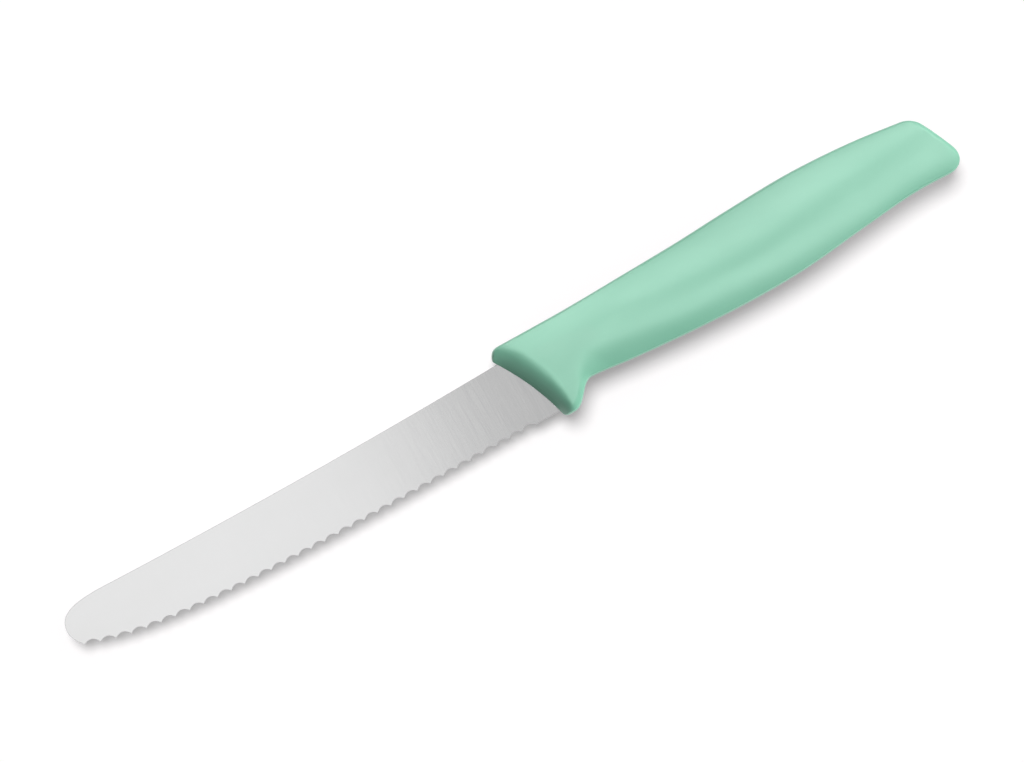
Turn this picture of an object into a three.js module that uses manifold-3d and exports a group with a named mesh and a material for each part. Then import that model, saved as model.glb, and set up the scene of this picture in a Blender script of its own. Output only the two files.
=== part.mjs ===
// Sandwich knife with a wavy edge: one steel blade with its tang, in a handle of moulded plastic.
//
// Drawing frame, in millimetres: X runs from the blade's tip to the butt, Y from the cutting edge
// to the spine, and Z across the thickness, with 0 on the blade's middle plane. The finished knife
// lies on its side, with +Z up, and its box is centred over the origin.

import * as THREE from 'three';
import { mergeVertices } from 'three/addons/utils/BufferGeometryUtils.js';
import Module from 'manifold-3d';

const wasm = await Module();
wasm.setup();

const { clamp, degToRad, lerp, smoothstep } = THREE.MathUtils;

// Blade: outline and taper
const BLADE_LENGTH = 109.7; // tip to the middle of the handle's front
const BLADE_HEIGHT = 14.95; // cutting edge to spine, at the handle
const SPINE_DIP = 0.7; // hollow of the spine between the tip and the handle
const STEEL_THICKNESS = 1.2; // strip that the blade and tang are cut from
const EDGE_THICKNESS = 0.4; // left by the taper grind along the cutting edge
const NOSE_LENGTH = 10.2; // how far back the rounded tip joins the spine
const NOSE_DROP = 5.15; // foremost point of the tip below the spine
const NOSE_FULLNESS = 0.74; // 0.55 would be a true quarter ellipse
const EDGE_START_X = 1.95; // where the wavy edge begins, behind the tip
const EDGE_START_DROP = 3.55; // and below its foremost point
const EDGE_START_SLOPE = degToRad(20.6);
const EDGE_START_PULL = 12; // how far the curved edge keeps to that slope
const EDGE_EASE = 0.72; // share of the curved edge over which it levels out
const EDGE_STRAIGHT_LENGTH = 22; // straight edge in front of the handle

// Wavy edge, ground from the far side only
const WAVE_COUNT = 33;
const WAVE_DEPTH = 0.88;
const NOSE_WAVES = 11; // waves round the nose, a little longer than the others
const NOSE_WAVES_STRETCH = 1.3; // how much longer they are in all
const WAVE_GRIND_ANGLE = degToRad(16);
const WAVE_OVERLAP = 1.2; // each cut is this much wider than its wave
const CUSP_TRIM = 0.04; // taken off the points between the waves
const HEEL_PLAIN_LENGTH = 5.8; // plain edge between the last wave and the handle

// Tang inside the handle
const TANG_HEIGHT = 9;
const TANG_RISE = 1.2; // middle of the tang above the middle of the blade's root
const TANG_END_COVER = 33; // plastic behind the tang's end
const TANG_END_RADIUS = 3;
const ROOT_SETBACK = 1.3; // the taper grind runs out this far inside the handle
const ROOT_LENGTH = 2.4; // full-height root before the tang narrows
const ROOT_INSET = 0.5; // the root stands inside the blade's edge and spine
const HOLE_COUNT = 3;
const HOLE_DIAMETER = 4;
const FIRST_HOLE = 24; // behind the handle's front
const LAST_HOLE_MARGIN = 10; // in front of the tang's end

// Handle: ends and edges
const HANDLE_LENGTH = 101; // front to butt
const FRONT_SLANT = degToRad(24.4); // lean of the front and of the butt
const FRONT_BOW = 0.7; // hollow of the front
const BUTT_BOW = 0.12; // bulge of the butt
const FRONT_ROUND = 6.5; // length of the round-over down to the blade, at the back
const GUARD_FRONT_ROUND = 2.9; // and at the guard
const FRONT_FULLNESS = 2.6; // 1 would be a straight slope down to the blade
const FRONT_LIP = 0.45; // plastic on each side of the blade at the front
const NOSE_LIP_RISE = 2.2; // thicker on each side above the blade's spine
const NOSE_LIP_START = 1; // which begins this far below the spine
const BACK_CORNER_LENGTH = 4.1; // front corner above the blade's spine
const BACK_CORNER_HEIGHT = 2.4;
const GUARD_CORNER_RADIUS = 0.9;
const BUTT_ROUND = 1.2;
const BUTT_BACK_RADIUS = 2.2;
const BUTT_BELLY_RADIUS = 5.4;
const EDGE_ROUND = 0.4; // narrow rounding along the back and the belly
const MOULD_GAP = 0.3; // clearance between the steel and the plastic

// Handle: guard in front of the finger notch
const GUARD_DROP = 1.65; // below the line of the cutting edge
const GUARD_LENGTH = 2.3; // flat bottom of the guard
const GUARD_FLANK_ROUND = 1.8;
const GUARD_FLANK_DROP = 0.9;
const NOTCH_DEEPEST = 10.3; // behind the front
const NOTCH_SIDE_START = 6.5; // where the side begins to fall away behind the guard
const NOTCH_SIDE_END = 15;

// Handle: sizes at stations from front to butt, joined by smooth curves
const GRIP_START = 20; // behind the front
const onGrip = (share) => lerp(GRIP_START, HANDLE_LENGTH, share);
const STATION = [0, NOTCH_DEEPEST, GRIP_START, onGrip(0.17), onGrip(0.34), onGrip(0.49), onGrip(0.675),
  onGrip(0.845), HANDLE_LENGTH];
const BACK = [3.2, 3.08, 3.06, 3.38, 3.78, 4.4, 4.86, 4.1, 2.4]; // back above the blade's spine
const BELLY = [3.1, 2.97, 1.92, 0.84, 0.33, 0.64, 2.13, 3.28, 2.87]; // belly above the cutting edge
const HALF = [6, 6, 6, 6.1, 6.2, 6.4, 6.5, 6.2, 5.7]; // half of the thickness
const BACK_ROUND = [4, 4, 5, 6.6, 7.9, 8.1, 7, 5.2, 3]; // width of the band rolled off at the back
const BACK_FALL = [0.1, 0.1, 0.15, 0.25, 0.3, 0.3, 0.3, 0.3, 0.3]; // its fall, for each unit of its width
const BELLY_ROUND = [6.2, 6.2, 6.2, 4.8, 4.1, 3.3, 2.6, 3.2, 4]; // width of the band at the belly
const BELLY_FALL = [1.5, 1.6, 1.45, 0.9, 0.65, 0.45, 0.35, 0.5, 0.6]; // how far that band falls
const HOLLOW = [0, 0, 0, 0.05, 0.13, 0.17, 0.19, 0.14, 0.08]; // depth of the valley between the bands

// Fineness of the curved surfaces
const CURVE_STEPS = 16;
const EDGE_STEPS = 60;
const WAVE_FACETS = 10;
const END_STEPS = 8;
const ACROSS_STEPS = 22;
const NOTCH_STEP = 0.9;
const GRIP_STEP = 3;

// Smooth curve through one size's values at the stations.
function smoothThrough(values) {
  const last = values.length - 1;
  const slope = values.map((_, i) => {
    const before = Math.max(i - 1, 0);
    const after = Math.min(i + 1, last);
    return (values[after] - values[before]) / (STATION[after] - STATION[before]);
  });
  return (distance) => {
    const i = clamp(STATION.findLastIndex((station) => station <= distance), 0, last - 1);
    const run = STATION[i + 1] - STATION[i];
    const t = (distance - STATION[i]) / run;
    return (
      (2 * t ** 3 - 3 * t ** 2 + 1) * values[i] +
      (t ** 3 - 2 * t ** 2 + t) * run * slope[i] +
      (3 * t ** 2 - 2 * t ** 3) * values[i + 1] +
      (t ** 3 - t ** 2) * run * slope[i + 1]
    );
  };
}

const backAt = smoothThrough(BACK);
const bellyAt = smoothThrough(BELLY);
const halfAt = smoothThrough(HALF);
const backRoundAt = smoothThrough(BACK_ROUND);
const backFallAt = smoothThrough(BACK_FALL);
const bellyRoundAt = smoothThrough(BELLY_ROUND);
const bellyFallAt = smoothThrough(BELLY_FALL);
const hollowAt = smoothThrough(HOLLOW);

// Height of a quarter circle at a share of its width, from upright at 0 to level at 1.
function quarterRound(share) {
  const inner = 1 - clamp(share, 0, 1);
  return Math.sqrt(1 - inner * inner);
}

// Point at a distance behind the handle's front. Every section leans like the front and bows a
// little less than the one before it.
function onSection(distance, y) {
  const middle = BLADE_HEIGHT / 2;
  const offset = y - middle;
  const bow = lerp(FRONT_BOW, BUTT_BOW, distance / HANDLE_LENGTH);
  const lean = Math.tan(FRONT_SLANT) * offset + bow * (offset / middle) ** 2;
  return new THREE.Vector2(BLADE_LENGTH + distance - lean, y);
}

// Points of one section line between two heights.
function sectionLine(distance, fromY, toY) {
  const points = [];
  for (let i = 0; i <= END_STEPS; i += 1) {
    points.push(onSection(distance, lerp(fromY, toY, i / END_STEPS)));
  }
  return points;
}

function toSolid(geometry) {
  geometry.deleteAttribute('normal');
  geometry.deleteAttribute('uv');
  const merged = mergeVertices(geometry);
  const mesh = new wasm.Mesh({
    numProp: 3,
    vertProperties: Float32Array.from(merged.attributes.position.array),
    triVerts: Uint32Array.from(merged.index.array),
  });
  return new wasm.Manifold(mesh);
}

function toGeometry(solid) {
  const mesh = solid.getMesh();
  const geometry = new THREE.BufferGeometry();
  geometry.setAttribute('position', new THREE.BufferAttribute(mesh.vertProperties, 3));
  geometry.setIndex(new THREE.BufferAttribute(mesh.triVerts, 1));
  geometry.computeVertexNormals();
  return geometry;
}

// Flat plate of an outline, with its half thickness given by the height above the edge.
function plate(outline, halfThickness) {
  const geometry = new THREE.ExtrudeGeometry(outline, {
    depth: 1,
    bevelEnabled: false,
    curveSegments: CURVE_STEPS,
  });
  const position = geometry.attributes.position;
  for (let i = 0; i < position.count; i += 1) {
    const side = position.getZ(i) > 0.5 ? 1 : -1;
    position.setZ(i, side * halfThickness(position.getY(i)));
  }
  return toSolid(geometry);
}

// Cutting edge before the waves are ground into it: a curve that levels out, then a straight run.
function makeEdgeCurve() {
  const start = new THREE.Vector2(EDGE_START_X, BLADE_HEIGHT - NOSE_DROP - EDGE_START_DROP);
  const slope = new THREE.Vector2(Math.cos(EDGE_START_SLOPE), -Math.sin(EDGE_START_SLOPE));
  const level = new THREE.Vector2(BLADE_LENGTH - EDGE_STRAIGHT_LENGTH, 0);
  const ease = new THREE.Vector2(lerp(level.x, start.x, EDGE_EASE), 0);
  const pulled = start.clone().addScaledVector(slope, EDGE_START_PULL);
  const curve = new THREE.CurvePath();
  curve.add(new THREE.CubicBezierCurve(start, pulled, ease, level));
  curve.add(new THREE.LineCurve(level, onSection(-HEEL_PLAIN_LENGTH, 0)));
  return curve;
}

const edgeCurve = makeEdgeCurve();

// Half thickness of the taper-ground blade at a height above the edge.
function taper(y) {
  return lerp(EDGE_THICKNESS, STEEL_THICKNESS, y / BLADE_HEIGHT) / 2;
}

// Blade from the tip to just inside the handle. With a gap it is the room for it in the plastic.
function bladeBody(gap) {
  const rear = ROOT_SETBACK + ROOT_LENGTH / 2 + gap;
  const spineY = BLADE_HEIGHT + gap;
  const noseY = BLADE_HEIGHT - NOSE_DROP;
  const edgeStart = edgeCurve.getPoint(0);
  const spineEnd = onSection(rear, spineY);

  const outline = new THREE.Shape();
  outline.moveTo(edgeStart.x, edgeStart.y - gap);
  outline.quadraticCurveTo(edgeStart.x / 8, (edgeStart.y + noseY) / 2, 0, noseY);
  outline.bezierCurveTo(
    0, lerp(noseY, spineY, NOSE_FULLNESS),
    NOSE_LENGTH * (1 - NOSE_FULLNESS), spineY,
    NOSE_LENGTH, spineY,
  );
  outline.quadraticCurveTo((NOSE_LENGTH + spineEnd.x) / 2, spineY - 2 * SPINE_DIP, spineEnd.x, spineEnd.y);
  for (const point of sectionLine(rear, spineY, -gap).slice(1)) {
    outline.lineTo(point.x, point.y);
  }
  for (const point of edgeCurve.getSpacedPoints(EDGE_STEPS).slice(1).reverse()) {
    outline.lineTo(point.x, point.y - gap);
  }
  return plate(outline, (y) => taper(y) + gap);
}

// Tang with its full-height root and its holes. With a gap it is the room for it in the plastic.
function tangBody(gap) {
  const front = ROOT_SETBACK - gap;
  const rear = ROOT_SETBACK + ROOT_LENGTH + gap;
  const rootBottom = ROOT_INSET - gap;
  const rootTop = BLADE_HEIGHT - ROOT_INSET + gap;
  const middle = BLADE_HEIGHT / 2 + TANG_RISE;
  const bottom = middle - TANG_HEIGHT / 2 - gap;
  const top = middle + TANG_HEIGHT / 2 + gap;
  const tangLength = HANDLE_LENGTH - TANG_END_COVER;
  const end = BLADE_LENGTH + tangLength + gap;
  const radius = TANG_END_RADIUS + gap;

  const outline = new THREE.Shape(sectionLine(front, rootTop, rootBottom));
  for (const point of sectionLine(rear, rootBottom, bottom)) {
    outline.lineTo(point.x, point.y);
  }
  outline.absarc(end - radius, bottom + radius, radius, -Math.PI / 2, 0, false);
  outline.absarc(end - radius, top - radius, radius, 0, Math.PI / 2, false);
  for (const point of sectionLine(rear, top, rootTop)) {
    outline.lineTo(point.x, point.y);
  }
  for (let i = 0; i < HOLE_COUNT; i += 1) {
    const place = lerp(FIRST_HOLE, tangLength - LAST_HOLE_MARGIN, i / (HOLE_COUNT - 1));
    const hole = new THREE.Path();
    hole.absarc(BLADE_LENGTH + place, middle, HOLE_DIAMETER / 2 - gap, 0, 2 * Math.PI, true);
    outline.holes.push(hole);
  }
  return plate(outline, () => STEEL_THICKNESS / 2 + gap);
}

// Share of the edge's length at which a wave ends.
function waveEnd(index) {
  const stretch = NOSE_WAVES_STRETCH / edgeCurve.getLength();
  const atNose = Math.max(0, 1 - index / NOSE_WAVES);
  return ((1 - stretch) * index) / WAVE_COUNT + stretch * (1 - atNose ** 2);
}

// Grinding cut for one wave: a shallow round trough that slants through the edge from the far side.
function waveCut(middle, along, length) {
  const rise = WAVE_DEPTH * Math.sin(WAVE_GRIND_ANGLE);
  const radius = (length ** 2 / 4 + rise ** 2) / (2 * rise);
  const top = rise + CUSP_TRIM * Math.sin(WAVE_GRIND_ANGLE);
  const halfWidth = (WAVE_OVERLAP * length) / 2;
  const halfSpan = Math.asin(halfWidth / radius);
  const reach = 2 * (WAVE_DEPTH + STEEL_THICKNESS / Math.tan(WAVE_GRIND_ANGLE));

  const outline = new THREE.Shape();
  outline.moveTo(halfWidth, -reach);
  outline.absarc(0, top - radius, radius, Math.PI / 2 - halfSpan, Math.PI / 2 + halfSpan, false);
  outline.lineTo(-halfWidth, -reach);
  const trough = new THREE.ExtrudeGeometry(outline, {
    depth: 2 * reach,
    bevelEnabled: false,
    curveSegments: WAVE_FACETS / 2,
  });
  trough.translate(0, 0, -reach);

  const alongEdge = new THREE.Vector3(along.x, along.y, 0);
  const inward = new THREE.Vector3(-along.y, along.x, 0);
  const across = inward.multiplyScalar(Math.sin(WAVE_GRIND_ANGLE)).setZ(Math.cos(WAVE_GRIND_ANGLE));
  const placed = new THREE.Matrix4().makeBasis(alongEdge, across, alongEdge.clone().cross(across));
  placed.setPosition(middle.x, middle.y, taper(middle.y));
  trough.applyMatrix4(placed);
  return toSolid(trough);
}

function makeBlade() {
  let solid = bladeBody(0).add(tangBody(0));
  for (let i = 0; i < WAVE_COUNT; i += 1) {
    const middle = (waveEnd(i) + waveEnd(i + 1)) / 2;
    const length = (waveEnd(i + 1) - waveEnd(i)) * edgeCurve.getLength();
    solid = solid.subtract(waveCut(edgeCurve.getPointAt(middle), edgeCurve.getTangentAt(middle), length));
  }
  return solid;
}

// Top and bottom of the handle's outline at a distance behind the front, with the corners rounded.
function outlineAt(distance) {
  const toButt = HANDLE_LENGTH - distance;
  const backCorner = Math.min(BACK_CORNER_HEIGHT, BACK[0] - MOULD_GAP - FRONT_LIP);
  const guardCorner = Math.min(GUARD_CORNER_RADIUS, GUARD_DROP - MOULD_GAP - FRONT_LIP);
  const guard = 1 - smoothstep(distance, GUARD_LENGTH, NOTCH_DEEPEST);
  return {
    top: BLADE_HEIGHT + backAt(distance)
      - backCorner * Math.max(0, 1 - distance / BACK_CORNER_LENGTH) ** 2
      - BUTT_BACK_RADIUS * (1 - quarterRound(toButt / BUTT_BACK_RADIUS)),
    bottom: lerp(bellyAt(distance), -GUARD_DROP, guard)
      + guardCorner * (1 - quarterRound(distance / GUARD_CORNER_RADIUS))
      + BUTT_BELLY_RADIUS * (1 - quarterRound(toButt / BUTT_BELLY_RADIUS)),
  };
}

// Half thickness of the handle at a point of its side: a level face, rolled off towards the back and
// the belly, with a long valley between, and rounded at both ends and along both edges.
function handleHalfThickness(distance, y, { top, bottom }) {
  const behindGuard = smoothstep(distance, NOTCH_SIDE_START, NOTCH_SIDE_END);
  const bellyRound = lerp(GUARD_FLANK_ROUND, bellyRoundAt(distance), behindGuard);
  const bellyFall = lerp(GUARD_FLANK_DROP, bellyFallAt(distance), behindGuard);
  const backRound = backRoundAt(distance);
  const bellyRoll = Math.max(0, 1 - (y - bottom) / bellyRound);
  const backRoll = Math.max(0, 1 - (top - y) / backRound);
  const valley = clamp((y - bottom - bellyRound) / (top - backRound - bottom - bellyRound), 0, 1);
  const side = halfAt(distance)
    - bellyFall * bellyRoll ** 2
    - backFallAt(distance) * backRound * backRoll ** 2
    - (hollowAt(distance) * (1 - Math.cos(2 * Math.PI * valley))) / 2
    - BUTT_ROUND * (1 - quarterRound((HANDLE_LENGTH - distance) / BUTT_ROUND));

  const share = (y - bottom) / (top - bottom);
  const frontRound = lerp(FRONT_ROUND, GUARD_FRONT_ROUND, (1 - share) ** 2);
  const nose = smoothstep(y, BLADE_HEIGHT - NOSE_LIP_START, BLADE_HEIGHT + BACK[0]);
  const land = STEEL_THICKNESS / 2 + MOULD_GAP + FRONT_LIP + NOSE_LIP_RISE * nose;
  const rounded = lerp(side, land, Math.max(0, 1 - distance / frontRound) ** FRONT_FULLNESS);
  return rounded * quarterRound((y - bottom) / EDGE_ROUND) * quarterRound((top - y) / EDGE_ROUND);
}

// Closed ring of points round the handle: up the near side from belly to back, down the far side.
function handleRing(distance) {
  const outline = outlineAt(distance);
  const near = [];
  for (let j = 0; j <= ACROSS_STEPS; j += 1) {
    const share = (1 - Math.cos((Math.PI * j) / ACROSS_STEPS)) / 2;
    const place = onSection(distance, lerp(outline.bottom, outline.top, share));
    near.push(new THREE.Vector3(place.x, place.y, handleHalfThickness(distance, place.y, outline)));
  }
  const far = near.slice(1, -1).reverse();
  return [...near, ...far.map((point) => new THREE.Vector3(point.x, point.y, -point.z))];
}

// Distances behind the front at which the rings stand, close together where the handle turns fast.
function ringDistances() {
  const distances = [];
  for (let i = 0; i < END_STEPS; i += 1) {
    distances.push(FRONT_ROUND * (1 - Math.cos((i / END_STEPS) * (Math.PI / 2))));
  }
  const addEven = (from, to, step) => {
    const count = Math.ceil((to - from) / step);
    for (let i = 0; i < count; i += 1) {
      distances.push(lerp(from, to, i / count));
    }
  };
  const buttStart = HANDLE_LENGTH - BUTT_BELLY_RADIUS;
  addEven(FRONT_ROUND, NOTCH_SIDE_END, NOTCH_STEP);
  addEven(NOTCH_SIDE_END, buttStart, GRIP_STEP);
  for (let i = 0; i <= END_STEPS; i += 1) {
    distances.push(buttStart + BUTT_BELLY_RADIUS * Math.sin((i / END_STEPS) * (Math.PI / 2)));
  }
  return distances;
}

// Closed skin through rings of equal count, with both end rings filled across from side to side.
function loft(rings) {
  const count = rings[0].length;
  const last = rings.length - 1;
  const index = [];
  const at = (ring, j) => ring * count + (j % count);
  for (let ring = 0; ring < last; ring += 1) {
    for (let j = 0; j < count; j += 1) {
      index.push(at(ring, j), at(ring + 1, j), at(ring + 1, j + 1));
      index.push(at(ring, j), at(ring + 1, j + 1), at(ring, j + 1));
    }
  }
  for (let j = 0; j < count / 2; j += 1) {
    const far = count - j;
    if (j + 1 < count / 2) {
      index.push(at(0, j), at(0, j + 1), at(0, far - 1));
      index.push(at(last, j), at(last, far - 1), at(last, j + 1));
    }
    if (j > 0) {
      index.push(at(0, j), at(0, far - 1), at(0, far));
      index.push(at(last, j), at(last, far), at(last, far - 1));
    }
  }
  const geometry = new THREE.BufferGeometry().setFromPoints(rings.flat());
  geometry.setIndex(index);
  return geometry;
}

// The plastic fills the mould round the tang and through its holes.
function makeHandle() {
  const moulded = toSolid(loft(ringDistances().map(handleRing)));
  return moulded.subtract(bladeBody(MOULD_GAP)).subtract(tangBody(MOULD_GAP));
}

const brushedSteel = new THREE.MeshStandardMaterial({ color: 0xd2d2d2, roughness: 0.32, metalness: 1 });
const mintPlastic = new THREE.MeshStandardMaterial({ color: 0xa4dbc2, roughness: 0.5, metalness: 0 });

const blade = new THREE.Mesh(toGeometry(makeBlade()), brushedSteel);
blade.name = 'blade';
const handle = new THREE.Mesh(toGeometry(makeHandle()), mintPlastic);
handle.name = 'handle';

const drawing = new THREE.Group();
drawing.add(blade, handle);
const box = new THREE.Box3().setFromObject(drawing);
const centre = box.getCenter(new THREE.Vector3());
drawing.position.set(-centre.x, -centre.y, -box.min.z);

const knife = new THREE.Group();
knife.add(drawing);

export default knife;
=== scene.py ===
# %% [markdown]
# # A sandwich knife with a wavy edge
#
# This lesson dresses a small kitchen knife: a blade of thin stainless steel, and a handle of
# mint-green plastic that was moulded round the blade's tang. The solids of the knife are loaded
# first, and everything below is made in their frame, in metres: X runs from the tip to the butt,
# Y from the cutting edge to the spine, and Z up from the surface that the knife lies on.

# %% Load the solids
import math

import bpy
import numpy as np
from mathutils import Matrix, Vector
from mathutils.geometry import tessellate_polygon


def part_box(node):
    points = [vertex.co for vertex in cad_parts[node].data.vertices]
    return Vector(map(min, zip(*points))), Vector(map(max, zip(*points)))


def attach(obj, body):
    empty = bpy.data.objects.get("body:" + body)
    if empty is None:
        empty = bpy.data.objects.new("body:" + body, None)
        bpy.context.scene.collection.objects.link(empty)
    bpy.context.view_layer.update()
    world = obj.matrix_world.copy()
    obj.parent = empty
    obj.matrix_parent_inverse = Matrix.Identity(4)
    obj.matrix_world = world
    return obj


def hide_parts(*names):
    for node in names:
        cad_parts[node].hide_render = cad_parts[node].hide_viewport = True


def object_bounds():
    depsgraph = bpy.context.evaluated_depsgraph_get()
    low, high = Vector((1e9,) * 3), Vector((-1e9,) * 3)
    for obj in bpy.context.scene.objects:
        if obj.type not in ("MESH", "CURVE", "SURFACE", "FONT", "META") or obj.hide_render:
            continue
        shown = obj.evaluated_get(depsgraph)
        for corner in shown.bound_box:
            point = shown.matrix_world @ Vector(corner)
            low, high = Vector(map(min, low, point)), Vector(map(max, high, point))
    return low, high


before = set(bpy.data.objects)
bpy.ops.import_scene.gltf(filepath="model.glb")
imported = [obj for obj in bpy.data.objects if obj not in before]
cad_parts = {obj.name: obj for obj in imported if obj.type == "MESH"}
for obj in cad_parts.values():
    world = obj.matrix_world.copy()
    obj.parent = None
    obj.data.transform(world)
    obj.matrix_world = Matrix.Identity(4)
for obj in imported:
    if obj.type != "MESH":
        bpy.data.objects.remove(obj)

cad_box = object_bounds()
blade_low, blade_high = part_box("blade")
handle_low, handle_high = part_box("handle")
cad_size = [round(side * 1000, 2) for side in cad_box[1] - cad_box[0]]
print("solids:", sorted(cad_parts), "box, mm:", cad_size)

# %% [markdown]
# ## The drawing
#
# A maker draws a knife flat, in millimetres, with the tip at X = 0, the cutting edge at Y = 0 and
# the blade's middle plane at Z = 0. All the shapes below are worked out in that drawing, and one
# function carries them into the frame. That keeps the numbers readable, and a size that two pieces
# share is written once.

# %% From the drawing to the frame
MILLIMETRE = 0.001
DRAWING_ORIGIN = np.array([blade_low.x, blade_low.y, (handle_low.z + handle_high.z) / 2])


def in_frame(points):
    return np.asarray(points, float) * MILLIMETRE + DRAWING_ORIGIN


print("drawing origin in the frame, mm:", (DRAWING_ORIGIN * 1000).round(3))

# %% Sizes of the blade, in millimetres
BLADE_LENGTH = 109.7
BLADE_HEIGHT = 14.95
SPINE_DIP = 0.7
STEEL_THICKNESS = 1.2
EDGE_THICKNESS = 0.4
NOSE_LENGTH = 10.2
NOSE_DROP = 5.15
NOSE_FULLNESS = 0.74
NOSE_UNDERSIDE_PULL = 0.125
EDGE_START_X = 1.95
EDGE_START_DROP = 3.55
EDGE_START_SLOPE = math.radians(20.6)
EDGE_START_PULL = 12.0
EDGE_EASE = 0.72
EDGE_STRAIGHT_LENGTH = 22.0
WAVE_COUNT = 33
WAVE_DEPTH = 0.88
NOSE_WAVES = 11
NOSE_WAVES_STRETCH = 1.3
WAVE_GRIND_ANGLE = math.radians(16)
CUSP_TRIM = 0.04
HEEL_PLAIN_LENGTH = 5.8
TANG_HEIGHT = 9.0
TANG_RISE = 1.2
TANG_END_COVER = 33.0
TANG_END_RADIUS = 3.0
ROOT_SETBACK = 1.3
ROOT_LENGTH = 2.4
ROOT_INSET = 0.5
HOLE_COUNT = 3
HOLE_DIAMETER = 4.0
FIRST_HOLE = 24.0
LAST_HOLE_MARGIN = 10.0

# %% Sizes of the handle, in millimetres
HANDLE_LENGTH = 101.0
FRONT_SLANT = math.radians(24.4)
FRONT_BOW = 0.7
BUTT_BOW = 0.12
FRONT_ROUND = 6.5
GUARD_FRONT_ROUND = 2.9
FRONT_FULLNESS = 2.6
FRONT_LIP = 0.45
NOSE_LIP_RISE = 2.2
NOSE_LIP_START = 1.0
BACK_CORNER_LENGTH = 4.1
BACK_CORNER_HEIGHT = 2.4
GUARD_CORNER_RADIUS = 0.9
BUTT_ROUND = 1.2
BUTT_BACK_RADIUS = 2.2
BUTT_BELLY_RADIUS = 5.4
EDGE_ROUND = 0.4
MOULD_GAP = 0.3
GUARD_DROP = 1.65
GUARD_LENGTH = 2.3
GUARD_FLANK_ROUND = 1.8
GUARD_FLANK_DROP = 0.9
NOTCH_DEEPEST = 10.3
NOTCH_SIDE_START = 6.5
NOTCH_SIDE_END = 15.0
GRIP_START = 20.0
GRIP_SHARES = (0, 0.17, 0.34, 0.49, 0.675, 0.845, 1)
GRIP_LENGTH = HANDLE_LENGTH - GRIP_START
STATION = [0, NOTCH_DEEPEST] + [GRIP_START + share * GRIP_LENGTH for share in GRIP_SHARES]
BACK = [3.2, 3.08, 3.06, 3.38, 3.78, 4.4, 4.86, 4.1, 2.4]
BELLY = [3.1, 2.97, 1.92, 0.84, 0.33, 0.64, 2.13, 3.28, 2.87]
HALF = [6, 6, 6, 6.1, 6.2, 6.4, 6.5, 6.2, 5.7]
BACK_ROUND = [4, 4, 5, 6.6, 7.9, 8.1, 7, 5.2, 3]
BACK_FALL = [0.1, 0.1, 0.15, 0.25, 0.3, 0.3, 0.3, 0.3, 0.3]
BELLY_ROUND = [6.2, 6.2, 6.2, 4.8, 4.1, 3.3, 2.6, 3.2, 4]
BELLY_FALL = [1.5, 1.6, 1.45, 0.9, 0.65, 0.45, 0.35, 0.5, 0.6]
HOLLOW = [0, 0, 0, 0.05, 0.13, 0.17, 0.19, 0.14, 0.08]
print("stations along the handle:", [round(place, 1) for place in STATION])

# %% [markdown]
# ## The camera
#
# The knife is seen from straight above, laid slantwise across the picture with the butt at the
# upper right. A wide lens would make the near side swell, so a long lens looks from far away. The
# distance follows from the picture's width at the height of the blade.

# %% Camera
PICTURE_WIDTH = 214.0  # millimetres across the frame, at the blade
PICTURE_CENTRE = (106.7, 10.33)  # in the drawing
TURN = math.radians(-29.4)
LENS = 135.0
SENSOR = 36.0

camera_data = bpy.data.cameras.new("camera")
camera_data.lens = LENS
camera_data.sensor_width = SENSOR
camera = bpy.data.objects.new("camera", camera_data)
camera.location = in_frame([*PICTURE_CENTRE, PICTURE_WIDTH * LENS / SENSOR])
camera.rotation_euler = (0, 0, TURN)
bpy.context.scene.collection.objects.link(camera)
bpy.context.scene.camera = camera
print("camera height, m:", round(camera.location.z, 3))

# %% [markdown]
# ## Writing shaders as sums
#
# A shader is a web of nodes, and a web is hard to read in code. Here a small class holds one
# output socket and knows how to add, subtract and multiply, so that a formula written in Python
# adds its Math nodes by itself. Everything else comes from one method, which makes a node of a given
# type, gives it its settings and then fills or links its sockets.


# %% One socket, with arithmetic
class Wire:
    """An output socket of a node tree. Arithmetic on it adds Math nodes to the tree."""

    def __init__(self, bench, socket):
        self.bench = bench
        self.socket = socket

    def math(self, operation, *values):
        return self.bench.node("ShaderNodeMath", {"operation": operation}, dict(enumerate(values)))

    def __add__(self, other):
        return self.math("ADD", self, other)

    def __radd__(self, other):
        return self.math("ADD", other, self)

    def __sub__(self, other):
        return self.math("SUBTRACT", self, other)

    def __rsub__(self, other):
        return self.math("SUBTRACT", other, self)

    def __mul__(self, other):
        return self.math("MULTIPLY", self, other)

    def __rmul__(self, other):
        return self.math("MULTIPLY", other, self)

    def ease(self, low, high):
        """0 below low, 1 above high, and a smooth step between."""
        settings = {"interpolation_type": "SMOOTHSTEP"}
        sockets = {"Value": self, "From Min": low, "From Max": high}
        return self.bench.node("ShaderNodeMapRange", settings, sockets)


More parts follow.
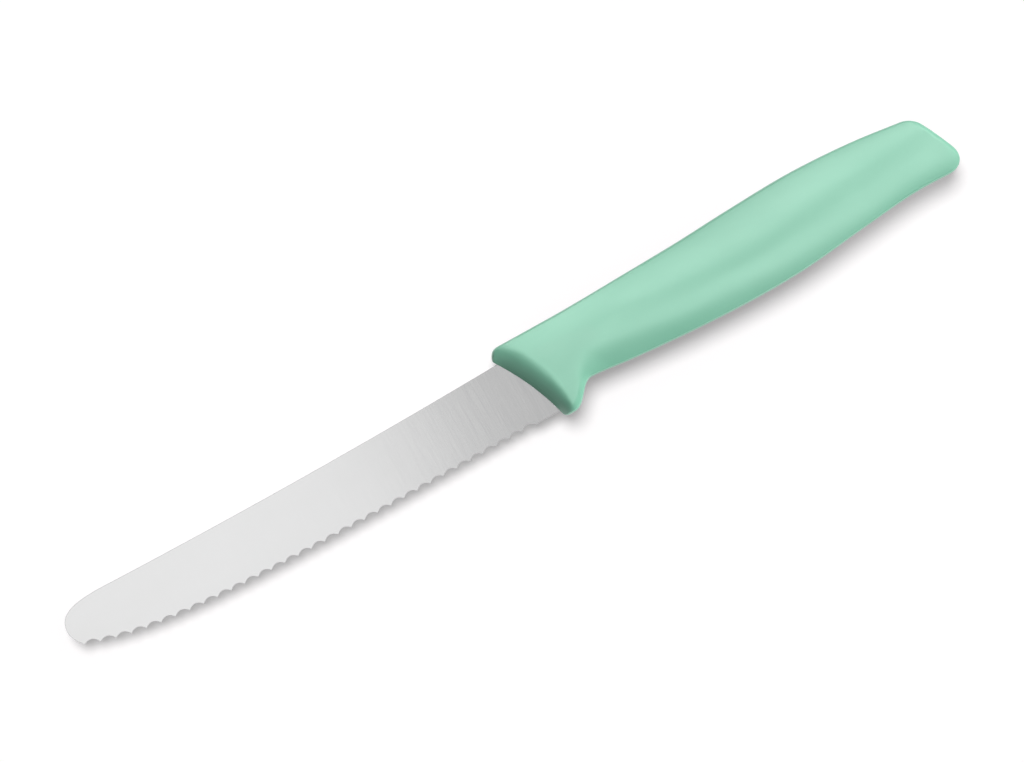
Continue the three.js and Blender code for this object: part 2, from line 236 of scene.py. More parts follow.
class Bench:
    """A node tree to work on: a material's or the world's."""

    def __init__(self, owner):
        owner.use_nodes = True
        self.tree = owner.node_tree
        self.tree.nodes.clear()

    def node(self, kind, settings=None, sockets=None, output=0):
        made = self.tree.nodes.new(kind)
        for name, value in (settings or {}).items():
            setattr(made, name, value)
        for name, value in (sockets or {}).items():
            if isinstance(value, Wire):
                self.tree.links.new(value.socket, made.inputs[name])
            else:
                made.inputs[name].default_value = value
        return Wire(self, made.outputs[output])

    def stretch(self, vector, scale, shift=(0, 0, 0)):
        """A position multiplied side by side, then moved."""
        settings = {"operation": "MULTIPLY_ADD"}
        return self.node("ShaderNodeVectorMath", settings, {0: vector, 1: scale, 2: shift})

    def towards(self, vector, way):
        """How far a vector points in a given way."""
        settings = {"operation": "DOT_PRODUCT"}
        return self.node("ShaderNodeVectorMath", settings, {0: vector, 1: way}, output="Value")

    def noise(self, vector, detail=2.0, roughness=0.5):
        sockets = {"Vector": vector, "Scale": 1.0, "Detail": detail, "Roughness": roughness}
        return self.node("ShaderNodeTexNoise", {}, sockets)

    def mix(self, first, second, factor):
        """A colour between two others. The colour sockets of a Mix node are numbers 6 and 7."""
        sockets = {0: factor, 6: first, 7: second}
        return self.node("ShaderNodeMix", {"data_type": "RGBA"}, sockets, output=2)

    def bump(self, height, strength, distance):
        sockets = {"Height": height, "Strength": strength, "Distance": distance}
        return self.node("ShaderNodeBump", {}, sockets)

    def finish(self, shader, kind="ShaderNodeOutputMaterial"):
        made = self.tree.nodes.new(kind)
        self.tree.links.new(shader.socket, made.inputs["Surface"])


def place_in_millimetres(bench):
    """Where a point of the surface is, in millimetres of the frame."""
    place = bench.node("ShaderNodeTexCoord", output="Object")
    return bench.stretch(place, [1 / MILLIMETRE] * 3)


print("the bench is ready")

# %% [markdown]
# ## The studio
#
# The photograph is a catalogue picture, lit in parts. One soft box high on the spine's side lights
# the white sweep and throws the short shadow. Three more are kept off the sweep. They light the
# handle from the butt's side, so that its front is dark and its butt bright: one from high up, and
# one low on each side for the back and the belly. Two cards overhead are there for the gloss alone.
# The levels of the boxes are what a white floor would get. With the room they add up to about 1, so
# a colour renders about as it is written.
#
# What is mirrored has a world of its own, because steel shows little else: dim all round, brighter
# straight overhead and towards one side, with pale walls near the horizon.

# %% World
ROOM_LEVEL = 0.3
ROOM_SWING = 0.95  # brighter towards the butt's side, darker on the tip's
WINDOW_SIDE = (0.98, 0.2, 0)
MIRROR_LOW = 0.12
MIRROR_HIGH = 0.72
OVERHEAD_HEIGHTS = (0.6, 0.95)  # where the mirrored room goes from low to high
MIRROR_SIDE = 0.9
MIRROR_SIDE_WAY = (0.85, 0.5, 0)
MIRROR_SIDE_EDGES = (0.2, 0.9)
WALL_LOW = 0.18  # walls beyond the tip, and how much paler the others are
WALL_RISE = 0.3
WALL_TURN = (-0.9, -0.2)
WALL_TOPS = (0.35, 0.62)

world = bpy.data.worlds.new("studio")
bpy.context.scene.world = world
room = Bench(world)
direction = room.node("ShaderNodeTexCoord", output="Generated")
height = room.node("ShaderNodeSeparateXYZ", {}, {0: direction}, output="Z")
to_window = room.towards(direction, WINDOW_SIDE)
to_side = room.towards(direction, MIRROR_SIDE_WAY)
walls = (WALL_LOW + WALL_RISE * to_window.ease(*WALL_TURN)) * (1 - height.ease(*WALL_TOPS))
overhead = MIRROR_LOW + (MIRROR_HIGH - MIRROR_LOW) * height.ease(*OVERHEAD_HEIGHTS)
mirrored = overhead + walls + MIRROR_SIDE * to_side.ease(*MIRROR_SIDE_EDGES)
is_camera = room.node("ShaderNodeLightPath", output="Is Camera Ray")
is_glossy = room.node("ShaderNodeLightPath", output="Is Glossy Ray")
is_clear = room.node("ShaderNodeLightPath", output="Is Transmission Ray")
seen = is_camera + is_clear - is_camera * is_clear
filled = ROOM_LEVEL * (1 + ROOM_SWING * to_window)
level = seen + (1 - seen) * (is_glossy * mirrored + (1 - is_glossy) * filled)
background = room.node("ShaderNodeBackground", {}, {"Color": (1, 1, 1, 1), "Strength": level})
room.finish(background, "ShaderNodeOutputWorld")
print("room level:", ROOM_LEVEL)

# %% Soft boxes and cards
SWEEP_WAY = (0.04, 0.26, 0.96)
SWEEP_WIDTH = math.radians(24)
SWEEP_LEVEL = 0.68
SIDE_WAY = (0.58, -0.04, 0.8)
SIDE_WIDTH = math.radians(40)
SIDE_LEVEL = 0.3
BACK_WAY = (0.45, 0.8, 0.4)
BACK_LEVEL = 0.12
BELLY_WAY = (0.45, -0.8, 0.4)
BELLY_LEVEL = 0.18
BLADE_CARD = ((-0.2, -0.022), (-0.07, 0.07), 0.26, 0.68)  # X range, Y range, height, level
HANDLE_CARD = ((-0.045, 0.35), (-0.022, 0.25), 0.15, 6.4)


def lamp(name, kind, place, way):
    made = bpy.data.objects.new(name, bpy.data.lights.new(name, kind))
    made.location = place
    made.rotation_euler = Vector(way).to_track_quat("Z", "Y").to_euler()
    made.visible_camera = False
    bpy.context.scene.collection.objects.link(made)
    return made


def soft_box(name, way, width, level):
    """Far light with a soft edge. Its level is what a white floor gets of it."""
    made = lamp(name, "SUN", way, way)
    made.data.angle = width
    made.data.energy = level * math.pi / Vector(way).normalized().z
    made.visible_glossy = False
    return made


def card(name, x_range, y_range, height, level):
    """White card overhead that only the gloss of the knife shows."""
    made = lamp(name, "AREA", (sum(x_range) / 2, sum(y_range) / 2, height), (0, 0, 1))
    made.data.shape = "RECTANGLE"
    made.data.size, made.data.size_y = x_range[1] - x_range[0], y_range[1] - y_range[0]
    made.data.energy = level * math.pi * made.data.size * made.data.size_y
    made.visible_diffuse = False
    return made


sweep_box = soft_box("sweep_box", SWEEP_WAY, SWEEP_WIDTH, SWEEP_LEVEL)
side_box = soft_box("side_box", SIDE_WAY, SIDE_WIDTH, SIDE_LEVEL)
back_box = soft_box("back_box", BACK_WAY, SIDE_WIDTH, BACK_LEVEL)
belly_box = soft_box("belly_box", BELLY_WAY, SIDE_WIDTH, BELLY_LEVEL)
blade_card = card("blade_card", *BLADE_CARD)
handle_card = card("handle_card", *HANDLE_CARD)
handle_level = ROOM_LEVEL + SIDE_LEVEL + BACK_LEVEL + BELLY_LEVEL
print("light on the sweep:", ROOM_LEVEL + SWEEP_LEVEL, "and on the handle:", round(handle_level, 2))

# %% Sweep
FLOOR_HALF = 4.0
GLOW = 0.2  # share of the paper that stays bright in shadow, for the camera
BOUNCE = 0.5  # and the same for what the knife gets from it
PAPER_SEEN = ((1.05, 1.03, 1.035, 1), (1.07, 1.05, 1.055, 1))
PAPER_AROUND = (0.88, 0.88, 0.88, 1)
FIBRE_SCALE = (0.6, 0.6, 0.6)

floor_mesh = bpy.data.meshes.new("sweep")
corners = [(x * FLOOR_HALF, y * FLOOR_HALF, 0) for x, y in ((-1, -1), (1, -1), (1, 1), (-1, 1))]
floor_mesh.from_pydata(corners, [], [(0, 1, 2, 3)])
floor = bpy.data.objects.new("sweep", floor_mesh)
bpy.context.scene.collection.objects.link(floor)

paper = bpy.data.materials.new("white_paper")
bench = Bench(paper)
fibre = bench.noise(bench.stretch(place_in_millimetres(bench), FIBRE_SCALE), detail=4.0)
is_camera = bench.node("ShaderNodeLightPath", output="Is Camera Ray")
paper_white = bench.mix(PAPER_AROUND, bench.mix(*PAPER_SEEN, fibre), is_camera)
lit = bench.node("ShaderNodeBsdfDiffuse", {}, {"Color": paper_white})
glow_white = bench.mix(PAPER_AROUND, (1, 1, 1, 1), is_camera)
bright = bench.node("ShaderNodeEmission", {}, {"Color": glow_white, "Strength": 1.0})
glow = BOUNCE + (GLOW - BOUNCE) * is_camera
bench.finish(bench.node("ShaderNodeMixShader", {}, {0: glow, 1: lit, 2: bright}))
floor_mesh.materials.append(paper)
print("sweep of white paper,", 2 * FLOOR_HALF, "m wide")

# %% [markdown]
# ## The steel
#
# The blade's sides were ground on a wide wheel, across the blade, and left that way: fine hairlines
# run from the spine to the edge, and only close to the handle are they strong enough to see. Two
# noises that are squeezed along the knife and stretched across it make such lines. They change the
# roughness, the grey and the height together, because a scratch does all three.

# %% Steel finish
GREY_DARK = (0.585, 0.585, 0.588, 1)
GREY_LIGHT = (0.625, 0.625, 0.625, 1)
GREY_HANDLED = (0.60, 0.60, 0.597, 1)
STRONG_LINES = (-50, -5)  # millimetres along the frame, where the lines grow towards the handle

steel = bpy.data.materials.new("ground_steel")
bench = Bench(steel)
place = place_in_millimetres(bench)
along = bench.node("ShaderNodeSeparateXYZ", {}, {0: place}, output="X")
hairlines = bench.noise(bench.stretch(place, (9.0, 0.16, 0.5)), detail=3.0, roughness=0.6)
wheel_marks = bench.noise(bench.stretch(place, (2.2, 0.08, 0.5), (3.7, 0, 0)), detail=2.0)
handling = bench.noise(bench.stretch(place, (0.05, 0.09, 0.1), (0, 8.1, 0)), detail=3.0)
strong = 0.3 + 1.2 * along.ease(*STRONG_LINES)
lines = 0.5 + strong * (0.7 * hairlines + 0.3 * wheel_marks - 0.5)
grey = bench.mix(GREY_DARK, GREY_LIGHT, lines.ease(0.3, 0.7))
grey = bench.mix(grey, GREY_HANDLED, handling.ease(0.45, 0.75) * 0.5)
matt = 0.2 + 0.06 * lines + 0.03 * handling
relief = bench.bump(lines, strength=0.1, distance=0.00001)
bench.finish(bench.node("ShaderNodeBsdfPrincipled", {}, {
    "Base Color": grey,
    "Metallic": 1.0,
    "Roughness": matt,
    "Normal": relief,
}))
print("steel:", len(steel.node_tree.nodes), "nodes")

# %% [markdown]
# ## The blade's outline
#
# The outline is drawn as a toolmaker would: a rounded nose, a spine with a slight dip, and a
# cutting edge that falls in a long curve and ends straight. The edge is then divided into waves.
# They are of equal length, but for those round the nose, which are a little longer. Each wave is a
# shallow trough ground from the far side at a low angle, so the near side shows only its scalloped
# rim, and the far side shows the ground facets.


# %% Curves of the drawing
EDGE_STEPS = 1200


def bezier(steps, *points):
    """Points of a Bezier curve with three or four control points."""
    share = np.linspace(0, 1, steps + 1)[:, None]
    degree = len(points) - 1
    weights = [math.comb(degree, i) * share**i * (1 - share) ** (degree - i) for i in range(degree + 1)]
    return sum(weight * np.asarray(point, float) for weight, point in zip(weights, points))


def on_section(distance, y):
    """Points on the leaning, bowed line at a distance behind the handle's front."""
    middle = BLADE_HEIGHT / 2
    offset = np.asarray(y, float) - middle
    bow = FRONT_BOW + (BUTT_BOW - FRONT_BOW) * distance / HANDLE_LENGTH
    lean = math.tan(FRONT_SLANT) * offset + bow * (offset / middle) ** 2
    return np.stack([BLADE_LENGTH + distance - lean, offset + middle], axis=-1)


def taper(y):
    """Half thickness of the ground blade at a height above the edge."""
    return (EDGE_THICKNESS + (STEEL_THICKNESS - EDGE_THICKNESS) * np.asarray(y) / BLADE_HEIGHT) / 2


nose = np.array([0, BLADE_HEIGHT - NOSE_DROP])
edge_start = np.array([EDGE_START_X, nose[1] - EDGE_START_DROP])
edge_level = np.array([BLADE_LENGTH - EDGE_STRAIGHT_LENGTH, 0])
edge_end = on_section(-HEEL_PLAIN_LENGTH, 0)
pull = edge_start + EDGE_START_PULL * np.array([math.cos(EDGE_START_SLOPE), -math.sin(EDGE_START_SLOPE)])
ease = edge_level + EDGE_EASE * (np.array([edge_start[0], 0]) - edge_level)
edge_line = np.vstack([bezier(EDGE_STEPS, edge_start, pull, ease, edge_level), edge_end])
edge_run = np.concatenate([[0], np.cumsum(np.linalg.norm(np.diff(edge_line, axis=0), axis=1))])
print("wavy edge, mm:", edge_run[-1].round(2))


# %% Waves of the edge
WAVE_STEPS = 14


def edge_point(run):
    return np.array([np.interp(run, edge_run, edge_line[:, i]) for i in (0, 1)])


def wave_end(index):
    """Where a wave ends along the edge. The waves round the nose are a little longer."""
    pitch = (edge_run[-1] - NOSE_WAVES_STRETCH) / WAVE_COUNT
    return pitch * index + NOSE_WAVES_STRETCH * (1 - max(0, 1 - index / NOSE_WAVES) ** 2)


def wave(index):
    """Near and far rim of one ground trough, as points in space from its start to its end."""
    start, end = wave_end(index), wave_end(index + 1)
    middle = edge_point((start + end) / 2)
    along = edge_point(end) - edge_point(start)
    along /= np.linalg.norm(along)
    inward = np.array([-along[1], along[0]])
    sine, cosine = math.sin(WAVE_GRIND_ANGLE), math.cos(WAVE_GRIND_ANGLE)
    rise = WAVE_DEPTH * sine
    reach = (end - start) / 2
    radius = (reach**2 + rise**2) / (2 * rise)
    place = np.linspace(-reach, reach, WAVE_STEPS + 1)
    arch = rise + CUSP_TRIM * sine - radius + np.sqrt(radius**2 - place**2)
    swell = (STEEL_THICKNESS - EDGE_THICKNESS) / (2 * BLADE_HEIGHT) * inward[1]
    near_depth = arch / (sine + swell * cosine)
    far_depth = (arch + 2 * taper(middle[1]) * cosine) / (sine - swell * cosine)
    rims = []
    for depth, side in ((near_depth, 1), (far_depth, -1)):
        flat = middle + place[:, None] * along + depth[:, None] * inward
        rims.append(np.column_stack([flat, side * taper(flat[:, 1])]))
    return rims


def wave_rims():
    """Both rims of the whole edge. Neighbouring troughs share the cusp between them."""
    waves = [wave(index) for index in range(WAVE_COUNT)]
    rims = []
    for side in (0, 1):
        points = [waves[0][side][:1]]
        for index, both in enumerate(waves):
            points.append(both[side][1:-1])
            last = both[side][-1:]
            if index + 1 < WAVE_COUNT:
                last = (last + waves[index + 1][side][:1]) / 2
            points.append(last)
        rims.append(np.vstack(points))
    return rims


near_rim, far_rim = wave_rims()
print("points along the wavy edge:", len(near_rim))


# %% [markdown]
# ## The blade and its tang
#
# The blade is skinned from rows of points: the rim of its near side, the two lines of the spine's
# broken corners, and the rim of its far side. Where the edge has no broken corner, rows fall
# together and the skin closes by itself. The flat sides are filled as polygons. The tang is a plain
# strip with holes, joined on by a Boolean, because the two overlap inside the handle.


# %% Skins from rows of points
class Skin:
    """Points and faces of a piece, in millimetres of the drawing. Equal points are kept once."""

    def __init__(self):
        self.points = []
        self.found = {}
        self.faces = []

    def point(self, place):
        key = tuple(np.round(np.asarray(place, float), 5))
        if key not in self.found:
            self.found[key] = len(self.points)
            self.points.append(key)
        return self.found[key]

    def face(self, places):
        corners = []
        for corner in map(self.point, places):
            if corner not in corners:
                corners.append(corner)
        if len(corners) > 2:
            self.faces.append(corners)

    def band(self, upper, lower):
        """Faces between two closed rows of equal length, seen with the upper row above."""
        for i in range(len(upper)):
            k = (i + 1) % len(upper)
            self.face([upper[i], lower[i], lower[k], upper[k]])

    def fill(self, rows, flip=False):
        """A flat side: the first row is its outline and the others are holes."""
        loops = [[Vector(point) for point in row] for row in rows]
        flat = [point for row in rows for point in row]
        for triangle in tessellate_polygon(loops):
            a, b, c = (np.asarray(flat[i], float) for i in triangle)
            turns_left = np.cross(b - a, c - a)[2] > 0
            self.face([a, b, c] if turns_left != flip else [a, c, b])

    def to_object(self, name, sharp_angle):
        mesh = bpy.data.meshes.new(name)
        mesh.from_pydata(in_frame(self.points).tolist(), [], self.faces)
        mesh.validate()
        made = bpy.data.objects.new(name, mesh)
        bpy.context.scene.collection.objects.link(made)
        soften(made, sharp_angle)
        return made


def soften(piece, sharp_angle):
    """Smooth shading that stops at edges sharper than an angle."""
    piece.data.polygons.foreach_set("use_smooth", [True] * len(piece.data.polygons))
    piece.data.set_sharp_from_angle(angle=sharp_angle)


def carve(piece, tool, operation, sharp_angle):
    """A Boolean with a tool that is removed afterwards."""
    modifier = piece.modifiers.new(operation.lower(), "BOOLEAN")
    modifier.object = tool
    modifier.operation = operation
    modifier.solver = "EXACT"
    graph = bpy.context.evaluated_depsgraph_get()
    carved = bpy.data.meshes.new_from_object(piece.evaluated_get(graph))
    piece.modifiers.clear()
    piece.data = carved
    bpy.data.objects.remove(tool)
    soften(piece, sharp_angle)


print("skins are ready")

# %% Outline rows of the blade
SPINE_BREAK = 0.08
BREAK_FADE = 4  # points over which the broken corner fades out at the edge's start
NOSE_STEPS = 48
SPINE_STEPS = 60
SECTION_STEPS = 12


def blade_back(rear, gap=0.0):
    """Outline from the heel's lower corner up the rear, along the spine and round the nose."""
    spine_y = BLADE_HEIGHT + gap
    rear_line = on_section(rear, np.linspace(-gap, spine_y, SECTION_STEPS + 1))
    spine_end = rear_line[-1]
    dip = [(NOSE_LENGTH + spine_end[0]) / 2, spine_y - 2 * SPINE_DIP]
    spine = bezier(SPINE_STEPS, spine_end, dip, (NOSE_LENGTH, spine_y))
    upper = bezier(
        NOSE_STEPS,
        (NOSE_LENGTH, spine_y),
        (NOSE_LENGTH * (1 - NOSE_FULLNESS), spine_y),
        (0, nose[1] + NOSE_FULLNESS * (spine_y - nose[1])),
        nose,
    )
    underside = (edge_start[0] * NOSE_UNDERSIDE_PULL, (edge_start[1] + nose[1]) / 2)
    lower = bezier(NOSE_STEPS // 2, nose, underside, edge_start)
    return np.vstack([rear_line, spine[1:], upper[1:], lower[1:]])


def lifted(flat, height):
    return np.column_stack([flat, height])


def inset(flat, width):
    """Points moved to the left of the way along a line, which is inside for a blade's outline."""
    way = np.gradient(flat, axis=0)
    way /= np.linalg.norm(way, axis=1)[:, None]
    return flat + width * np.column_stack([-way[:, 1], way[:, 0]])


rear = ROOT_SETBACK + ROOT_LENGTH / 2
back = blade_back(rear)
soft_width = np.full((len(back), 1), SPINE_BREAK)
soft_width[: SECTION_STEPS + 1] = 0
soft_width[-BREAK_FADE:, 0] = SPINE_BREAK * np.linspace(1 - 1 / BREAK_FADE, 0, BREAK_FADE)
back_inner = inset(back, soft_width)
heel = np.array([edge_end])
print("outline points behind the edge:", len(back))

# %% Blade
SHARP_STEEL = math.radians(10)
SAME_POINT = 1e-4

half = taper(back[:, 1])
half_inner = taper(back_inner[:, 1])
soft = soft_width[:, 0]
edge_row = lifted(heel, taper(heel[:, 1]))
start_far = lifted(edge_start[None], -taper(edge_start[1:]))
near_outer = np.vstack([near_rim[:1], near_rim, near_rim[-1:], lifted(back_inner, half_inner)])
near_corner = np.vstack([near_rim[:1], near_rim, near_rim[-1:], lifted(back, half - soft)])
far_corner = np.vstack([start_far, far_rim, edge_row * (1, 1, -1), lifted(back, soft - half)])
far_outer = np.vstack([start_far, far_rim, edge_row * (1, 1, -1), lifted(back_inner, -half_inner)])

blade_skin = Skin()
for upper, lower in ((near_outer, near_corner), (near_corner, far_corner), (far_corner, far_outer)):
    blade_skin.band(upper, lower)


def without_repeats(row):
    """A closed row with each point once, as a polygon filler needs it."""
    kept = [row[0]]
    for point in row[1:]:
        if np.linalg.norm(point - kept[-1]) > SAME_POINT:
            kept.append(point)
    if np.linalg.norm(kept[0] - kept[-1]) < SAME_POINT:
        kept.pop()
    return kept


blade_skin.fill([without_repeats(near_outer)])
blade_skin.fill([without_repeats(far_outer)], flip=True)
blade = blade_skin.to_object("blade_and_tang", SHARP_STEEL)
print("blade skin:", len(blade.data.vertices), "points,", len(blade.data.polygons), "faces")

# %% Tang
ARC_STEPS = 10
HOLE_STEPS = 32
ROOT_LOW_POINTS = 4
ROOT_HIGH_POINTS = 3


def arc(centre, radius, start, end, steps):
    angle = np.linspace(start, end, steps + 1)
    return np.asarray(centre) + radius * np.column_stack([np.cos(angle), np.sin(angle)])


def tang_rows(gap):
    """Outline of the tang with its root, and its holes. A gap makes it the room in the plastic."""
    middle = BLADE_HEIGHT / 2 + TANG_RISE
    low, high = middle - TANG_HEIGHT / 2 - gap, middle + TANG_HEIGHT / 2 + gap
    root_low, root_high = ROOT_INSET - gap, BLADE_HEIGHT - ROOT_INSET + gap
    front, behind = ROOT_SETBACK - gap, ROOT_SETBACK + ROOT_LENGTH + gap
    tang_length = HANDLE_LENGTH - TANG_END_COVER
    end = BLADE_LENGTH + tang_length + gap
    radius = TANG_END_RADIUS + gap
    outline = np.vstack([
        on_section(front, np.linspace(root_high, root_low, SECTION_STEPS + 1)),
        on_section(behind, np.linspace(root_low, low, ROOT_LOW_POINTS)),
        arc((end - radius, low + radius), radius, -math.pi / 2, 0, ARC_STEPS),
        arc((end - radius, high - radius), radius, 0, math.pi / 2, ARC_STEPS),
        on_section(behind, np.linspace(high, root_high, ROOT_HIGH_POINTS)),
    ])
    holes = []
    for place in np.linspace(FIRST_HOLE, tang_length - LAST_HOLE_MARGIN, HOLE_COUNT):
        centre = (BLADE_LENGTH + place, middle)
        circle = arc(centre, HOLE_DIAMETER / 2 - gap, 0, -2 * math.pi, HOLE_STEPS)
        holes.append(circle[:-1])
    return [outline, *holes]


def strip(name, rows, half_thickness, sharp_angle):
    """A flat plate of outline and holes, with its half thickness given at each height."""
    skin = Skin()
    near = [lifted(row, half_thickness(row[:, 1])) for row in rows]
    far = [row * (1, 1, -1) for row in near]
    for above, below in zip(near, far):
        skin.band(above, below)
    skin.fill(near)
    skin.fill(far, flip=True)
    return skin.to_object(name, sharp_angle)


def steel_half(gap):
    return lambda y: np.full(len(y), STEEL_THICKNESS / 2 + gap)


carve(blade, strip("tang", tang_rows(0), steel_half(0), SHARP_STEEL), "UNION", SHARP_STEEL)
blade.data.materials.clear()
blade.data.materials.append(steel)
print("blade with tang:", len(blade.data.vertices), "points,", len(blade.data.polygons), "faces")

# %% [markdown]
# ## The plastic
#
# The handle is polypropylene, coloured right through. The mould was lightly spark-eroded, so the
# surface is satin, with a grain far finer than a millimetre. The colour is even, but moulded
# plastic is never quite flat: the pigment flows in faint clouds, and hands polish the places that
# they touch. Noise in the object's own space makes both, so that it doesn't slide or stretch.

# %% Plastic finish
MINT_DEEP = (0.210, 0.512, 0.366, 1)
MINT_PALE = (0.226, 0.532, 0.384, 1)
MINT_FLECK = (0.26, 0.562, 0.41, 1)

plastic = bpy.data.materials.new("mint_plastic")
bench = Bench(plastic)
place = place_in_millimetres(bench)
clouds = bench.noise(bench.stretch(place, (0.03, 0.09, 0.09)), detail=3.0)
grain = bench.noise(bench.stretch(place, (4.2, 4.2, 4.2)), detail=2.0, roughness=0.55)
pitting = bench.noise(bench.stretch(place, (1.3, 1.3, 1.3), (0, 4.4, 0)), detail=1.0)
rubbed = bench.noise(bench.stretch(place, (0.07, 0.2, 0.2), (5.5, 0, 0)), detail=3.0)
mint = bench.mix(MINT_DEEP, MINT_PALE, clouds.ease(0.3, 0.7))
mint = bench.mix(mint, MINT_FLECK, grain.ease(0.55, 0.8) * 0.25)
satin = 0.46 - 0.1 * rubbed.ease(0.4, 0.7) + 0.08 * (grain - 0.5)
relief = bench.bump(0.75 * grain + 0.25 * pitting, strength=0.25, distance=0.00005)
bench.finish(bench.node("ShaderNodeBsdfPrincipled", {}, {
    "Base Color": mint,
    "Roughness": satin,
    "IOR": 1.49,
    "Specular IOR Level": 0.35,
    "Normal": relief,
}))
print("plastic:", len(plastic.node_tree.nodes), "nodes")

# %% [markdown]
# ## The handle
#
# The handle has no straight line anywhere, so it is lofted: rings of points stand one behind the
# other from the front to the butt, each on its own leaning section, and are skinned together. Every
# ring is worked out from a few sizes that change smoothly along the handle: how high its back and
# belly are, how thick it is, and how its sides roll off. The rings crowd together where the form
# turns fast, at both ends.


# %% Form of the handle
def smooth_through(values):
    """A smooth curve through one size's values at the stations."""
    places, values = np.array(STATION, float), np.array(values, float)
    last = len(values) - 1
    before = np.maximum(np.arange(last + 1) - 1, 0)
    after = np.minimum(np.arange(last + 1) + 1, last)
    slope = (values[after] - values[before]) / (places[after] - places[before])

    def curve(distance):
        i = int(np.clip(np.searchsorted(places, distance, side="right") - 1, 0, last - 1))
        run = places[i + 1] - places[i]
        t = (distance - places[i]) / run
        return (
            (2 * t**3 - 3 * t**2 + 1) * values[i]
            + (t**3 - 2 * t**2 + t) * run * slope[i]
            + (3 * t**2 - 2 * t**3) * values[i + 1]
            + (t**3 - t**2) * run * slope[i + 1]
        )

    return curve


def quarter_round(share):
    inner = 1 - np.clip(share, 0, 1)
    return np.sqrt(1 - inner * inner)


def smooth_step(value, low, high):
    t = np.clip((value - low) / (high - low), 0, 1)
    return t * t * (3 - 2 * t)


def blend(first, second, share):
    return first + (second - first) * share


back_at, belly_at, half_at = map(smooth_through, (BACK, BELLY, HALF))
back_round_at, belly_round_at = map(smooth_through, (BACK_ROUND, BELLY_ROUND))
back_fall_at, belly_fall_at, hollow_at = map(smooth_through, (BACK_FALL, BELLY_FALL, HOLLOW))


def side_outline(distance):
    """Top and bottom of the handle at a distance behind its front."""
    to_butt = HANDLE_LENGTH - distance
    guard = 1 - smooth_step(distance, GUARD_LENGTH, NOTCH_DEEPEST)
    top = BLADE_HEIGHT + back_at(distance)
    top -= BACK_CORNER_HEIGHT * max(0, 1 - distance / BACK_CORNER_LENGTH) ** 2
    top -= BUTT_BACK_RADIUS * (1 - quarter_round(to_butt / BUTT_BACK_RADIUS))
    bottom = blend(belly_at(distance), -GUARD_DROP, guard)
    bottom += GUARD_CORNER_RADIUS * (1 - quarter_round(distance / GUARD_CORNER_RADIUS))
    bottom += BUTT_BELLY_RADIUS * (1 - quarter_round(to_butt / BUTT_BELLY_RADIUS))
    return top, bottom


def side_height(distance, y, top, bottom):
    """Half thickness of the handle along one section."""
    behind_guard = smooth_step(distance, NOTCH_SIDE_START, NOTCH_SIDE_END)
    belly_round = blend(GUARD_FLANK_ROUND, belly_round_at(distance), behind_guard)
    belly_fall = blend(GUARD_FLANK_DROP, belly_fall_at(distance), behind_guard)
    back_round = back_round_at(distance)
    belly_roll = np.maximum(0, 1 - (y - bottom) / belly_round)
    back_roll = np.maximum(0, 1 - (top - y) / back_round)
    valley = np.clip((y - bottom - belly_round) / (top - back_round - bottom - belly_round), 0, 1)
    side = half_at(distance) - belly_fall * belly_roll**2
    side = side - back_fall_at(distance) * back_round * back_roll**2
    side = side - hollow_at(distance) * (1 - np.cos(2 * math.pi * valley)) / 2
    side = side - BUTT_ROUND * (1 - quarter_round((HANDLE_LENGTH - distance) / BUTT_ROUND))
    share = (y - bottom) / (top - bottom)
    front_round = blend(FRONT_ROUND, GUARD_FRONT_ROUND, (1 - share) ** 2)
    above_steel = smooth_step(y, BLADE_HEIGHT - NOSE_LIP_START, BLADE_HEIGHT + BACK[0])
    lip = FRONT_LIP + NOSE_LIP_RISE * above_steel
    land = STEEL_THICKNESS / 2 + MOULD_GAP + lip
    slope = np.maximum(0, 1 - distance / front_round)
    rounded = blend(side, land, slope**FRONT_FULLNESS)
    return rounded * quarter_round((y - bottom) / EDGE_ROUND) * quarter_round((top - y) / EDGE_ROUND)


print("handle height at its middle, mm:", np.round(np.subtract(*side_outline(HANDLE_LENGTH / 2)), 2))

# %% Rings and skin
ACROSS_STEPS = 64
END_RINGS = 22
RING_STEP = 0.7


def handle_ring(distance):
    top, bottom = side_outline(distance)
    share = (1 - np.cos(np.linspace(0, math.pi, ACROSS_STEPS + 1))) / 2
    y = blend(bottom, top, share)
    near = lifted(on_section(distance, y), side_height(distance, y, top, bottom))
    near[[0, -1], 2] = 0
    return np.vstack([near, near[-2:0:-1] * (1, 1, -1)])


def ring_distances():
    quarter = np.linspace(0, math.pi / 2, END_RINGS + 1)
    butt_start = HANDLE_LENGTH - BUTT_BELLY_RADIUS
    middle = np.linspace(FRONT_ROUND, butt_start, round((butt_start - FRONT_ROUND) / RING_STEP) + 1)
    front = FRONT_ROUND * (1 - np.cos(quarter))
    butt = butt_start + BUTT_BELLY_RADIUS * np.sin(quarter)
    return np.concatenate([front[:-1], middle[:-1], butt])


def end_cap(skin, ring, flip):
    """Closes an end ring with strips from its near side to its far side."""
    count = len(ring)
    for j in range(count // 2):
        strip_of_cap = [ring[j], ring[j + 1], ring[(count - j - 1) % count], ring[(count - j) % count]]
        skin.face(strip_of_cap[::-1] if flip else strip_of_cap)


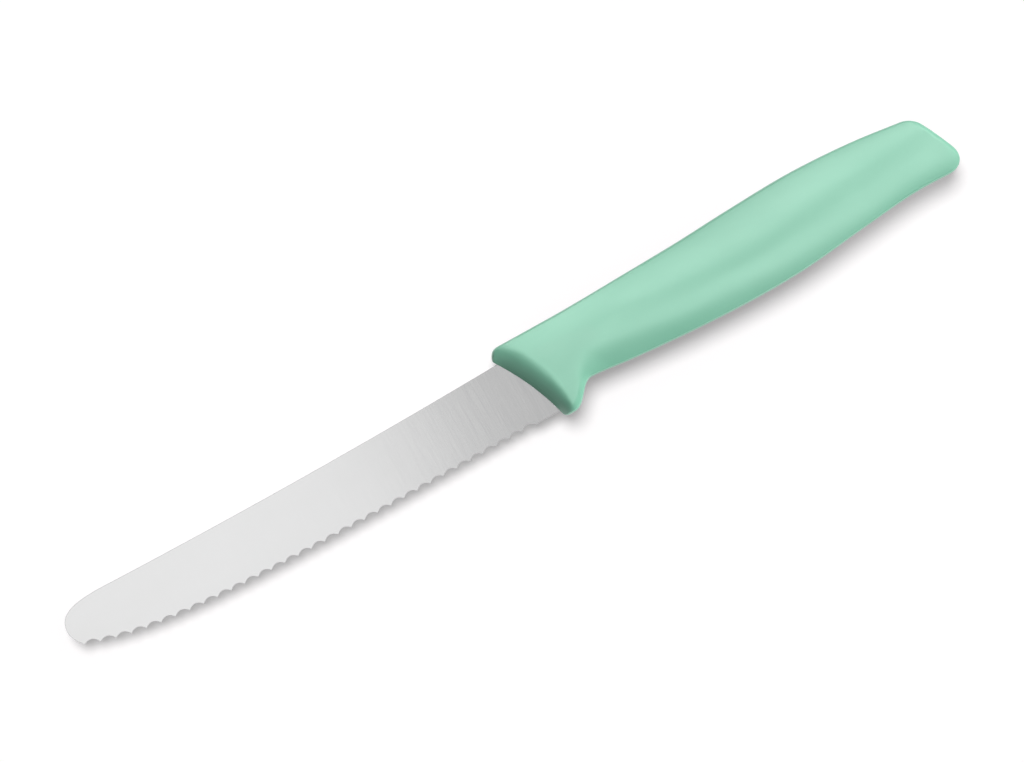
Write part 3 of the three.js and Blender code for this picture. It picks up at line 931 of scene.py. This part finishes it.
SHARP_PLASTIC = math.radians(40)
rings = [handle_ring(distance) for distance in ring_distances()]
handle_skin = Skin()
for ahead, behind in zip(rings, rings[1:]):
    handle_skin.band(ahead, behind)
end_cap(handle_skin, rings[0], flip=False)
end_cap(handle_skin, rings[-1], flip=True)
handle = handle_skin.to_object("moulded_handle", SHARP_PLASTIC)
print("handle skin:", len(rings), "rings,", len(handle.data.polygons), "faces")

# %% Room for the steel
VISIBLE_GAP = 0.05
SLOT_TOOL_FRONT = 60.0  # anywhere in front of the handle

slot_rear = blade_back(rear + VISIBLE_GAP, VISIBLE_GAP)[: SECTION_STEPS + 1]
slot_outline = np.vstack([
    [(SLOT_TOOL_FRONT, -VISIBLE_GAP)],
    slot_rear,
    [(SLOT_TOOL_FRONT, BLADE_HEIGHT + VISIBLE_GAP)],
])
slot_tool = strip("slot_tool", [slot_outline], lambda y: taper(y) + VISIBLE_GAP, SHARP_STEEL)
carve(handle, slot_tool, "DIFFERENCE", SHARP_PLASTIC)
tang_tool = strip("tang_tool", tang_rows(VISIBLE_GAP), steel_half(VISIBLE_GAP), SHARP_STEEL)
carve(handle, tang_tool, "DIFFERENCE", SHARP_PLASTIC)
handle.data.materials.clear()
handle.data.materials.append(plastic)
print("handle with its slot:", len(handle.data.vertices), "points,", len(handle.data.polygons), "faces")

# %% [markdown]
# ## Flags
#
# A photographer keeps light off a place with a black flag. Here each lamp is given the one thing
# that it lights: the sweep has its own soft box, the handle has three, and each card is seen by one
# piece only. The steel shows no soft box, since those aren't mirrored. The handle is also hidden
# from the light that bounces between surfaces, so it throws no green on the white paper.


# %% Which lamp lights what
def light_only(thing, *lamps):
    lit = bpy.data.collections.new(thing.name + "_light")
    lit.objects.link(thing)
    for source in lamps:
        source.light_linking.receiver_collection = lit
    print(thing.name, "is lit by", [source.name for source in lamps])


light_only(floor, sweep_box)
light_only(blade, blade_card)
light_only(handle, side_box, back_box, belly_box, handle_card)
handle.visible_diffuse = False

# %% [markdown]
# ## Riding on the body
#
# Both pieces are rigid and stand for one solid each. They ride on the only body of the knife,
# and the solids that they stand for are hidden.

# %% Ride, hide the solids, and set the view
for piece, node, slot in ((blade, "blade", "blade_steel"), (handle, "handle", "handle_plastic")):
    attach(piece, "root")
    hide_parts(node)

bpy.context.scene.view_settings.view_transform = "Standard"
